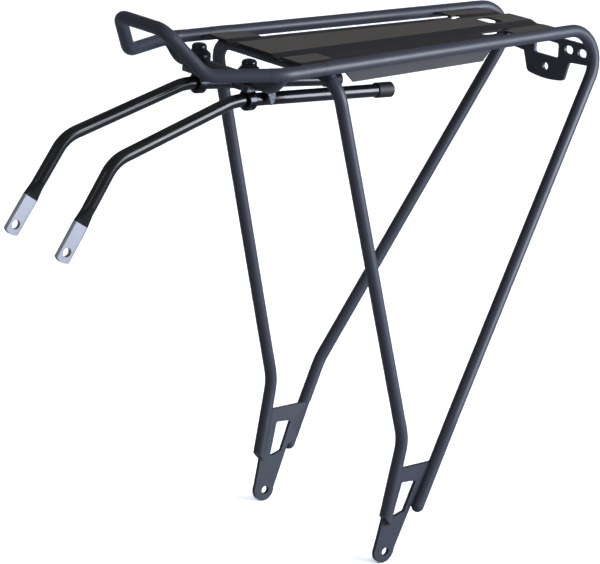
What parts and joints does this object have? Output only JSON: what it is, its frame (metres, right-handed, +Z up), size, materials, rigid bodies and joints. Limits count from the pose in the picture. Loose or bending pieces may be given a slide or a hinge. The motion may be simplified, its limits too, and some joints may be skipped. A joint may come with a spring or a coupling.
{
  "type": "bicycle rear carrier",
  "caption": "Tubular bicycle rear carrier with a pressed platform, tail light bracket and sliding clamped stays that reach forward to the seat stays.",
  "frame": {"origin": "midway between the two lower eyelets, on their common axis", "axes": "+Z up, +X from the saddle toward the tail light, +Y to the rider's right"},
  "size_m": [0.4773, 0.1708, 0.4185],
  "materials": {
    "frame_paint": "satin powder coat, anthracite",
    "stay_paint": "gloss black coat with bare lugs",
    "cap_rubber": "matt black",
    "clamp_zinc": "zinc plated, spangled",
    "black_steel": "black plated, worn bright on the edges"
  },
  "bodies": {
    "frame": {"main_tube": "frame_paint", "leg_hoop": "frame_paint", "clamp_bar": "frame_paint", "platform": "frame_paint", "tail_light_bracket": "frame_paint", "dropout_plate_left": "frame_paint", "dropout_plate_right": "frame_paint", "saddle_block_left": "clamp_zinc", "saddle_washer_left": "black_steel", "saddle_block_right": "clamp_zinc", "saddle_washer_right": "black_steel"},
    "clamp_left": {"eye_bolt_left": "black_steel", "dome_nut_left": "black_steel"},
    "clamp_right": {"eye_bolt_right": "black_steel", "dome_nut_right": "black_steel"},
    "stay_body_left": {"stay_left": "stay_paint", "stay_cap_left": "cap_rubber"},
    "stay_body_right": {"stay_right": "stay_paint", "stay_cap_right": "cap_rubber"}
  },
  "joints": [
    {"name": "clamp_swivel_left", "type": "hinge", "parent": "frame", "child": "clamp_left", "pos_m": [-0.1079, -0.03, 0.3491], "axis": [0, 0, 1], "range_deg": [-5, 5]},
    {"name": "stay_slide_left", "type": "slide", "parent": "clamp_left", "child": "stay_body_left", "axis": [-0.9987, 0, 0.0506], "range_m": [0, 0.11]},
    {"name": "clamp_swivel_right", "type": "hinge", "parent": "frame", "child": "clamp_right", "pos_m": [-0.1079, 0.03, 0.3491], "axis": [0, 0, 1], "range_deg": [-5, 5]},
    {"name": "stay_slide_right", "type": "slide", "parent": "clamp_right", "child": "stay_body_right", "axis": [-0.9963, 0, 0.0854], "range_m": [0, 0.11]}
  ]
}
